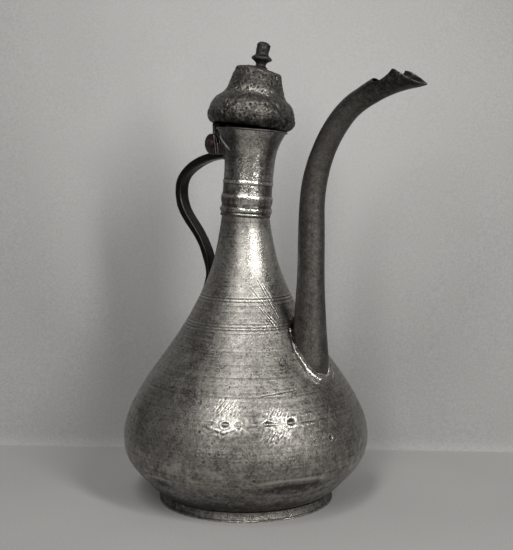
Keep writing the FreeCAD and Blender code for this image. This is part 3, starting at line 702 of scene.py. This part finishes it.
def neck_soil_and_painted_light(spots, angles):
    """Painted shade on the sides and back, away from the front that faces the camera, with less of it along
    the band; soil beside the ridges; a painted highlight on the run of solder.
    """
    down = -spots[..., 2] / MM
    rings = sum(share * bell(down, middle, half) for middle, half, share in NECK_RINGS)
    soiled = off_lit_front(angles, *NECK_LIT_FRONT) * (1 - BAND_LESS_SHADE * bell(down, BAND_MIDDLE, BAND_HALF))
    soiled = NECK_SIDE_SHADE * soiled * (1 + waves(spots, NECK_BLUR))
    return soiled + rings - NECK_BARE - RUN_PAINTED_HIGHLIGHT * beside_hinge(spots, angles)


def wire_relief(spots, angles):
    return MM * waves(spots, WIRE_DENTS) - WIRE_INSET


neck_place = axis_of("mouth_rim")
neck_line = section("neck_sleeve", neck_place, NECK_ROW)
pitted_neck = with_pits(neck_relief, neck_line, NECK_PITS, reach=(0.6, 1.4), depth=(0.05, 0.2), seed=21)
neck = spun(neck_line, NECK_COLUMNS, neck_place, pitted_neck, stains_and_painted_light=neck_soil_and_painted_light)
add_piece("neck_tube", neck, neck_tin, "pot", "neck_sleeve")
collar = hammered_copy("neck_solder", voxel=0.3, rounding=3, dents=[(5, 0.25), (2, 0.1)])
add_piece("neck_solder_line", collar, grey_solder, "pot", "neck_solder")
wire = spun(section("mouth_rim", neck_place, WIRE_ROW), NECK_COLUMNS, neck_place, wire_relief)
add_piece("mouth_wire", wire, dull_wire, "pot", "mouth_rim")


# Spout and its solder.
# A tapering tube of dark copper, bent over at the top and cut open into a beak with two small ears.
# Its foot is soldered to the shoulder with a thick, uneven fillet.

dark_spout = aged_metal(
    "dark_spout_finish", "dark_spout",
    dull=(0.056, 0.052, 0.046), rubbed=(0.16, 0.15, 0.135), soil=(0.018, 0.0165, 0.0145),
    shine=(0.38, 0.6), cloud=26, grain=1.0, grain_height=0.045,
    pit=2.2, pit_depth=0.06, pit_share=0.45, soot_and_shade=(306, 284), soot_and_shade_share=0.75)
spout_lead = aged_metal(
    "spout_lead_finish", "solder",
    dull=(0.09, 0.084, 0.075), rubbed=(0.5, 0.48, 0.445), soil=(0.025, 0.0225, 0.019),
    shine=(0.2, 0.5), cloud=5, grain=1.1, grain_height=0.09,
    pit=1.8, pit_depth=0.1, pit_share=0.7, soot_and_shade=(128, 119), soot_and_shade_share=0.92)
EAR_HEIGHT = 11 * MM
EAR_SLIP = 4.6 * MM  # how far the ears have been pushed towards the tip
EAR_ROUND = 1.2 * MM
EAR_WORN = 2 * MM  # how far below their tops the wear begins
FOOT_SUNK = 4.5 * MM  # how far the lower end is let into the shoulder
FOOT_SUNK_OVER = 16 * MM
FILLET_SUNK = 0.6  # its share of the same
FILLET_RUN = 2.8 * MM
FILLET_WEAR = 0.1 * MM
ear_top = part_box("spout_tube")[1].z
fillet_low, fillet_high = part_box("spout_solder")


def eased(share):
    """A share from 0 to 1 that starts and ends gently."""
    return share * share * (3 - 2 * share)


def let_in(spots):
    """The lower end of the spout is let into the shoulder."""
    sunk = np.clip(1 - (spots[:, 2] - fillet_low.z) / FOOT_SUNK_OVER, 0, 1)
    return pressed_in(spots, FOOT_SUNK * sunk * sunk)


def set_in_shape(spots):
    """The ears of the beak lean towards its tip, and their points are worn round."""
    share = np.clip(1 - (ear_top - spots[:, 2]) / EAR_HEIGHT, 0, 1)
    over = np.clip(spots[:, 2] - ear_top + EAR_WORN, 0, None)
    worn = EAR_ROUND * (1 - np.exp(-over / EAR_ROUND)) - over
    return np.column_stack([EAR_SLIP * eased(share), 0 * share, worn]) + let_in(spots)


def run_down(spots):
    """Molten solder ran down to the lower end of the joint and set there in lumps."""
    share = np.clip((fillet_high.z - spots[:, 2]) / (fillet_high.z - fillet_low.z), 0, 1)
    return FILLET_RUN * share ** 2


spout = hammered_copy("spout_tube", voxel=0.45, rounding=4, dents=[(26, 0.3), (8, 0.08), (3, 0.03)],
                      bend=set_in_shape)
add_piece("spout_pipe", spout, dark_spout, "pot", "spout_tube")
fillet = hammered_copy("spout_solder", voxel=0.3, rounding=2, dents=[(9, 0.9), (4.5, 0.8), (1.8, 0.15)],
                       full_wear=FILLET_WEAR, swell=run_down, bend=lambda spots: FILLET_SUNK * let_in(spots))
add_piece("spout_fillet", fillet, spout_lead, "pot", "spout_solder")


# Handle, its braze and its rivets.
# A forged strap of dark copper in an S, brazed to the neck at the top.
# Its lower end is hammered thin into a pad and held to the shoulder by two rivets.

dark_handle = aged_metal(
    "dark_handle_finish", "dark_handle",
    dull=(0.007, 0.0064, 0.0057), rubbed=(0.036, 0.033, 0.029), soil=(0.004, 0.0036, 0.0032),
    shine=(0.28, 0.5), cloud=18, grain=1.1, grain_height=0.05, pit=1.9, pit_depth=0.06, pit_share=0.55)
RIGHT = np.array([math.cos(FRONT + math.pi / 2), math.sin(FRONT + math.pi / 2)])  # as seen from the front
STRAP_SWELL = 0.4 * MM
STRAP_SLIP = 0.45 * MM
PAD_TALL, PAD_FADE = 25 * MM, 10 * MM
HINGE_DEEP, HINGE_FADE = 4 * MM, 5 * MM  # the part under the hinge
strap_low, strap_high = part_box("handle_strap")


def between_ends(spots):
    """Share of the strap's full thickness, which it has between its pad and the part under the hinge."""
    over_pad = np.clip((spots[:, 2] - strap_low.z - PAD_TALL) / PAD_FADE, 0, 1)
    return over_pad * np.clip((strap_high.z - spots[:, 2] - HINGE_DEEP) / HINGE_FADE, 0, 1)


def thicker(spots):
    return STRAP_SWELL * between_ends(spots)


def pushed_in(spots):
    """The strap has been pushed a little towards the neck."""
    slip = STRAP_SLIP * between_ends(spots)
    return np.column_stack([RIGHT[0] * slip, RIGHT[1] * slip, 0 * slip])


strap = hammered_copy("handle_strap", voxel=0.45, rounding=5, dents=[(12, 0.35), (4, 0.12)],
                      swell=thicker, bend=pushed_in)
add_piece("strap_handle", strap, dark_handle, "pot", "handle_strap")
lump = hammered_copy("handle_braze", voxel=0.3, rounding=2, dents=[(3, 0.3)])
add_piece("handle_braze_lump", lump, grey_solder, "pot", "handle_braze")
rivets = hammered_copy("handle_rivets", voxel=0.2, rounding=2, dents=[(2, 0.12)])
add_piece("handle_rivet_heads", rivets, dark_handle, "pot", "handle_rivets")


# Hinge.
# A copper bracket brazed to the neck carries three knuckles; the lid's tail has the two between them.
# A pin with two peened heads runs through all five.

hinge_copper = aged_metal(
    "hinge_copper_finish", "hinge_copper",
    dull=(0.016, 0.013, 0.0115), rubbed=(0.13, 0.115, 0.103), soil=(0.008, 0.0068, 0.006),
    shine=(0.36, 0.6), cloud=11, grain=0.9, grain_height=0.05, pit=1.5, pit_depth=0.06, pit_share=0.6)
brown_pin = aged_metal(
    "brown_pin_finish", "hinge_copper",
    dull=(0.03, 0.02, 0.017), rubbed=(0.1, 0.07, 0.06), soil=(0.01, 0.008, 0.007),
    shine=(0.45, 0.7), cloud=6, grain=0.8, grain_height=0.08, pit=1.4, pit_depth=0.08, pit_share=0.8)
BRACKET_RIDGES = [-23.3 * MM, -20.9 * MM]
BRACKET_WEAR = 0.02 * MM
RIDGE_WIDE, RIDGE_HEIGHT, RIDGE_LEAN = 0.6 * MM, 0.7 * MM, 0.18
RIDGE_END = 0.8 * MM  # how far in from the ends of the bracket they fade
SAG, RISE = 0.36, 0.2  # how much taller the knuckles are below the pin and above it
MIDDLE_KNUCKLE, KNUCKLE_FADE = 2.1 * MM, 1.5 * MM
pin_low, pin_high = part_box("hinge_pin")
pin_height = (pin_low.z + pin_high.z) / 2
bracket_low, bracket_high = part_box("hinge_bracket")


def folded_edges(spots):
    """The edges of the folded sheet stand up as ridges on both ends of the bracket."""
    inside = np.minimum(spots[:, 1] - bracket_low.y, bracket_high.y - spots[:, 1])
    end = np.clip(1 - inside / RIDGE_END, 0, 1)
    lean = RIDGE_LEAN * (pin_height - spots[:, 2])
    ridges = sum(bell(spots[:, 0], x + lean, RIDGE_WIDE) for x in BRACKET_RIDGES)
    return RIDGE_HEIGHT * end * (ridges - 1)


def sagged(spots):
    """The knuckles are taller than they are wide, and sag onto the handle.
    The middle one stays low, clear of the lid's tail."""
    off = spots[:, 2] - pin_height
    rise = RISE * np.clip((np.abs(spots[:, 1]) - MIDDLE_KNUCKLE) / KNUCKLE_FADE, 0, 1)
    return raised(np.where(off < 0, SAG, rise) * off)


bracket = hammered_copy("hinge_bracket", voxel=0.25, rounding=3, dents=[(4, 0.2), (1.6, 0.06)],
                        full_wear=BRACKET_WEAR, swell=folded_edges, bend=sagged)
add_piece("hinge_knuckles", bracket, hinge_copper, "pot", "hinge_bracket")
pin = hammered_copy("hinge_pin", voxel=0.2, rounding=2, dents=[(2, 0.08)])
add_piece("hinge_pin_peened", pin, brown_pin, "pot", "hinge_pin")


# Lid.
# A skirt that curls in under the dome, and a tall dome with a low conical roof, lapped and soldered.
# Its tin has blistered and pitted all over, far more than the body's.

pitted_lid = aged_metal(
    "pitted_lid_finish", "pitted_lid",
    dull=(0.03, 0.0275, 0.0245), rubbed=(0.21, 0.197, 0.178), soil=(0.012, 0.0108, 0.0095),
    shine=(0.34, 0.68), cloud=13, grain=1.2, grain_height=0.16,
    pit=1.3, pit_depth=0.11, pit_share=0.9, soot_and_shade=(282, 296), soot_and_shade_share=0.8)
LID_COLUMNS = 340
LID_ROW = 0.4 * MM
LID_WEAR = 0.12 * MM
LID_BLISTERS = [(0.45, 15, 6.6), (0.4, 5, 2.5), (0.22, 2.2, 9.9)]
SKIRT_PITS = 150
DOME_PITS = 320
LID_SLIP = 1.9 * MM  # how far the skirt has been knocked to the left, which fades towards the roof
LID_SLIP_AT_ROOF = 0.7 * MM
ROOF_TIP = 0.09  # the roof's own slope to the right, over and above the lid's
ROOF_FROM, ROOF_TO = 20 * MM, 40 * MM
GAP_SIDE = math.radians(150)  # where the lip hangs out further than elsewhere, beside the hinge
LIP_OUT, LIP_TALL = 1.5 * MM, 2.2 * MM
LAP_SUNK, LAP_TALL = 0.3 * MM, 1.2 * MM
# Soil, and painted glints on the front that faces the camera, in mm above the lip
ROOF_SOIL, ROOF_SOIL_FROM, ROOF_SOIL_OVER = 0.36, 27, 3
LAP_SOIL, LAP_HALF, LAP_WANDER = 0.8, 0.7, [(0.8, 5, 1.2)]
FLANK_PAINTED_GLINT, FLANK_AT, FLANK_HALF = 0.8, 24.5, 2.6
DOME_PAINTED_GLINT, DOME_AT, DOME_HALF = 0.1, 13, 4
lid_place = axis_of("finial_washer")
skirt_line = section("lid_skirt", lid_place, LID_ROW)
lid_seam = skirt_line[0][-1][1]
lip_height = skirt_line[0][0][1]
dome_line = section("lid_dome", lid_place, LID_ROW, low=lid_seam)


def lid_relief(spots, angles):
    behind = np.clip(np.cos(angles - GAP_SIDE), 0, 1) ** 2
    return MM * waves(spots, LID_BLISTERS) + LIP_OUT * behind * bell(spots[..., 2], lip_height, LIP_TALL)


def dome_relief(spots, angles):
    above = np.clip(spots[..., 2] - lid_seam, 0, None)
    return lid_relief(spots, angles) - LAP_SUNK * np.exp(-above / LAP_TALL)


def lid_soil_and_painted_glints(spots, angles):
    """Soil on the flank, the roof and the lap, and painted glints, only on the front that faces the camera,
    on the dome and in the concave ring above it.
    """
    up = (spots[..., 2] - lip_height) / MM
    lap = (lid_seam - lip_height) / MM - waves(spots, LAP_WANDER)
    facing_camera = np.clip(np.cos(angles - FRONT), 0, 1)
    share = ROOF_SOIL * np.clip((up - ROOF_SOIL_FROM) / ROOF_SOIL_OVER, 0, 1)
    share += LAP_SOIL * bell(up, lap, LAP_HALF)
    share -= FLANK_PAINTED_GLINT * facing_camera ** 3 * bell(up, FLANK_AT, FLANK_HALF)
    return share - DOME_PAINTED_GLINT * facing_camera ** 4 * bell(up, DOME_AT, DOME_HALF)


def knocked(spots):
    """How far each point of the lid has been knocked out of true."""
    up = spots[..., 2] - lip_height
    slip = LID_SLIP + (LID_SLIP_AT_ROOF - LID_SLIP) * np.clip(up / ROOF_TO, 0, 1)
    share = np.clip((up - ROOF_FROM) / (ROOF_TO - ROOF_FROM), 0, 1)
    drop = ROOF_TIP * (spots[..., :2] @ RIGHT) * eased(share)
    return np.dstack([-slip * RIGHT[0], -slip * RIGHT[1], -drop])


pitted_skirt = with_pits(lid_relief, skirt_line, SKIRT_PITS, reach=(0.7, 2.2), depth=(0.2, 0.65), seed=31)
skirt = spun(skirt_line, LID_COLUMNS, lid_place, pitted_skirt, LID_WEAR, bend=knocked, stains_and_painted_light=lid_soil_and_painted_glints)
add_piece("lid_curled_skirt", skirt, pitted_lid, "lid", "lid_skirt")
pitted_dome = with_pits(dome_relief, dome_line, DOME_PITS, reach=(0.7, 2.3), depth=(0.2, 0.7), seed=32)
dome = spun(dome_line, LID_COLUMNS, lid_place, pitted_dome, LID_WEAR, bend=knocked, stains_and_painted_light=lid_soil_and_painted_glints)
add_piece("lid_tall_dome", dome, pitted_lid, "lid", "lid_dome")


# Knob and washer.
# A cast knob: a disc and a small waisted post on a stem. Its tenon goes through the roof of the lid,
# and is peened over a washer inside.

black_knob = aged_metal(
    "black_knob_finish", "pitted_lid",
    dull=(0.02, 0.018, 0.016), rubbed=(0.1, 0.093, 0.085), soil=(0.01, 0.009, 0.008),
    shine=(0.42, 0.7), cloud=8, grain=1.0, grain_height=0.1, pit=1.5, pit_depth=0.12, pit_share=0.8)
KNOB_WEAR = 0.08 * MM
POST_SWELL, POST_MIDDLE, POST_HALF = 0.7 * MM, 5.5 * MM, 2.4 * MM  # middle is below the knob's top
CROWN_THIN, CROWN_HALF = 0.4 * MM, 1.3 * MM
CROWN_SLICE, CROWN_R, CROWN_DROP, CROWN_FADE = 1 * MM, 5.2 * MM, 2.0 * MM, 2.5 * MM
knob_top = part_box("lid_finial")[1].z


def swollen_post(spots):
    """The post swells in the middle."""
    down = knob_top - spots[:, 2]
    return POST_SWELL * bell(down, POST_MIDDLE, POST_HALF) - CROWN_THIN * bell(down, 0, CROWN_HALF)


def worn_crown(spots):
    """The edge of the post's flat top is worn round."""
    crown = spots[spots[:, 2] > knob_top - CROWN_SLICE].mean(axis=0)
    out = np.linalg.norm(spots[:, :2] - crown[:2], axis=1) / CROWN_R
    return raised(-CROWN_DROP * np.clip(out, 0, 1) ** 3 * np.exp(-(knob_top - spots[:, 2]) / CROWN_FADE))


knob = hammered_copy("lid_finial", voxel=0.25, rounding=6, dents=[(5, 0.25), (1.8, 0.12)],
                     full_wear=KNOB_WEAR, swell=swollen_post, bend=worn_crown)
add_piece("lid_knob", knob, black_knob, "lid", "lid_finial")
washer = hammered_copy("finial_washer", voxel=0.25, rounding=2, dents=[(3, 0.08)])
add_piece("knob_washer", washer, black_knob, "lid", "finial_washer")


# Lid tail and its rivets.
# A leaf of copper riveted to the back of the skirt, rolled into two knuckles that turn on the hinge pin.
# Opening and closing have kept it brighter than the rest of the hinge.

# Its black film, darkest at its top under the lid, is painted shade.
rubbed_tail_with_painted_shade = aged_metal(
    "rubbed_tail_painted_shade_finish", "hinge_copper",
    dull=(0.1, 0.09, 0.08), rubbed=(0.5, 0.465, 0.425), soil=(0.014, 0.012, 0.01),
    shine=(0.3, 0.5), cloud=8, grain=0.9, grain_height=0.06,
    pit=1.5, pit_depth=0.06, pit_share=0.6, soot_and_shade=(281, 272), soot_and_shade_share=0.9)

tail = hammered_copy("lid_tail", voxel=0.25, rounding=3, dents=[(4, 0.16), (1.6, 0.05)])
add_piece("lid_tail_leaf", tail, rubbed_tail_with_painted_shade, "lid", "lid_tail")
tail_rivets = hammered_copy("lid_tail_rivets", voxel=0.15, rounding=2, dents=[(1.5, 0.08)])
add_piece("tail_rivet_heads", tail_rivets, hinge_copper, "lid", "lid_tail_rivets")


# Floor and backdrop.
# A pale paper floor, and a pale cloth hung close behind the pot with a few soft folds.
# Neither is part of the pot, and both can be seen through from their backs.
# The cloth has a painted pool of light round its middle, which lifts the pot's shadow there.

CAMERA_SIDE = math.radians(36)
FLOOR_HALF = 4.0
BACKDROP_HALF = 0.31
BACKDROP_TALL = 0.75
BACKDROP_BEHIND = 133 * MM
BACKDROP_TURN = math.radians(-3)
GLOW_MIDDLE = (0.0, 0.0, 0.29)  # middle of the painted pool of light on the cloth
GLOW_FROM, GLOW_TO = 0.07, 0.25


def pale_stuff(name, shade, weave, weave_height, painted_glow=0.0):
    """Paper or cloth of that shade, with a pool of light painted paler in the middle by the share
    painted_glow.
    """
    glow_colour = (0.9, 0.89, 0.87, 1)
    stuff = bpy.data.materials.new(name)
    stuff.use_nodes = True
    tree = stuff.node_tree
    tree.nodes.clear()
    place = put(tree, "TexCoord").outputs["Object"]
    clouds = put(tree, "TexNoise", {"Vector": place, "Scale": 4.0, "Detail": 4.0}).outputs["Fac"]
    fibre = put(tree, "TexNoise", {"Vector": place, "Scale": 1 / weave, "Detail": 3.0}).outputs["Fac"]
    tone = mixture(tree, (clouds, 0.4), (fibre, 0.6))
    darker = tuple(0.8 * c for c in shade)
    colour = blended(tree, remap(tree, tone, (0.35, 0.65), (0.0, 1.0)), (*darker, 1), (*shade, 1))
    # A painted pool of light, paler towards the middle of the cloth.
    aside = put(tree, "VectorMath", {0: place, 1: GLOW_MIDDLE}, operation="DISTANCE").outputs["Value"]
    colour = blended(tree, remap(tree, aside, (GLOW_FROM, GLOW_TO), (painted_glow, 0.0)), colour, glow_colour)
    bump = put(tree, "Bump", {
        "Height": product(tree, fibre, weave_height), "Strength": 1.0, "Distance": 1.0,
    }).outputs["Normal"]
    shader = put(tree, "BsdfPrincipled", {"Base Color": colour, "Roughness": 0.85, "Normal": bump})
    clear = put(tree, "BsdfTransparent")
    behind = put(tree, "NewGeometry").outputs["Backfacing"]
    both = put(tree, "MixShader", {0: behind, 1: shader.outputs["BSDF"], 2: clear.outputs["BSDF"]})
    put(tree, "OutputMaterial", {"Surface": both.outputs["Shader"]})
    return stuff


def sheet_mesh(name, across, up, spot):
    """A grid of points from spot(x, y) over two runs of values."""
    points = [spot(x, y) for y in up for x in across]
    wide = len(across)
    faces = [(i + j * wide, i + 1 + j * wide, i + 1 + (j + 1) * wide, i + (j + 1) * wide)
             for j in range(len(up) - 1) for i in range(wide - 1)]
    mesh = bpy.data.meshes.new(name)
    mesh.from_pydata(points, [], faces)
    mesh.shade_smooth()
    made = bpy.data.objects.new(name, mesh)
    bpy.context.scene.collection.objects.link(made)
    return made


def cloth(x, z):
    """A point of the cloth, with long folds, small ones, and a curl where it meets the floor."""
    fold = 0.006 * noise.noise((x * 5, z * 2.2, 0.4)) + 0.002 * noise.noise((x * 17, z * 6, 3.0))
    return x, fold - 0.004 * math.exp(-z / 0.003), z


floor_run = np.linspace(-FLOOR_HALF, FLOOR_HALF, 3)
floor = sheet_mesh("floor", floor_run, floor_run, lambda x, y: (x, y, 0))
floor.data.materials.append(pale_stuff("floor_paper", (0.435, 0.429, 0.415), 1.2 * MM, 0.03 * MM))

backdrop = sheet_mesh("backdrop", np.linspace(-BACKDROP_HALF, BACKDROP_HALF, 120),
                      np.linspace(0, 1.0, 40) ** 2 * BACKDROP_TALL, cloth)
back = Vector((-math.sin(CAMERA_SIDE), math.cos(CAMERA_SIDE), 0))
backdrop.matrix_world = (Matrix.Translation(back * BACKDROP_BEHIND)
                         @ Matrix.Rotation(CAMERA_SIDE + BACKDROP_TURN, 4, "Z"))
backdrop.data.materials.append(
    pale_stuff("backdrop_cloth", (0.385, 0.38, 0.368), 1.6 * MM, 0.05 * MM, painted_glow=0.22))


# Light and camera.
# Two tall soft lamps stand behind the camera, left and right of it. Two pale walls throw a little light
# back from the sides, and a dim room fills the rest.

LAMP_AIM = Vector((0, 0, 0.13))
ROOM_SHADE = (0.062, 0.062, 0.061, 1)
CAMERA_LENS = 68.14
CAMERA_SENSOR = 36
CAMERA_FAR = 777 * MM
CAMERA_HEIGHT = 252 * MM
CAMERA_DOWN = math.radians(6.1)
CAMERA_AIM_RIGHT = math.radians(0.6)


def lamp(name, side, rise, far, wide, tall, power):
    """A soft lamp aimed at the pot, side degrees right of the camera and rise degrees up."""
    light = bpy.data.lights.new(name, "AREA")
    light.shape = "RECTANGLE"
    light.size, light.size_y = wide, tall
    light.energy = power
    made = bpy.data.objects.new(name, light)
    bpy.context.scene.collection.objects.link(made)
    turn = CAMERA_SIDE + math.radians(side)
    up = math.radians(rise)
    way = Vector((math.cos(up) * math.sin(turn), -math.cos(up) * math.cos(turn), math.sin(up)))
    made.location = LAMP_AIM + far * way
    made.rotation_euler = (LAMP_AIM - made.location).to_track_quat("-Z", "Y").to_euler()


lamp("left_lamp", side=-17, rise=41, far=1.7, wide=0.3, tall=1.5, power=17)
lamp("right_lamp", side=36, rise=29, far=1.7, wide=0.22, tall=1.0, power=16.5)
lamp("left_wall", side=-78, rise=20, far=1.9, wide=1.5, tall=1.5, power=1.1)
lamp("right_wall", side=80, rise=20, far=1.9, wide=1.5, tall=1.5, power=1.9)

world = bpy.data.worlds.new("room")
bpy.context.scene.world = world
world.use_nodes = True
world.node_tree.nodes["Background"].inputs["Color"].default_value = ROOM_SHADE
world.node_tree.nodes["Background"].inputs["Strength"].default_value = 1.0

camera_data = bpy.data.cameras.new("camera")
camera_data.lens = CAMERA_LENS
camera_data.sensor_width = CAMERA_SENSOR
camera = bpy.data.objects.new("camera", camera_data)
bpy.context.scene.collection.objects.link(camera)
camera.location = (CAMERA_FAR * math.sin(CAMERA_SIDE), -CAMERA_FAR * math.cos(CAMERA_SIDE), CAMERA_HEIGHT)
camera.rotation_euler = (math.pi / 2 - CAMERA_DOWN, 0, CAMERA_SIDE - CAMERA_AIM_RIGHT)
bpy.context.scene.camera = camera
bpy.context.scene.view_settings.view_transform = "Standard"
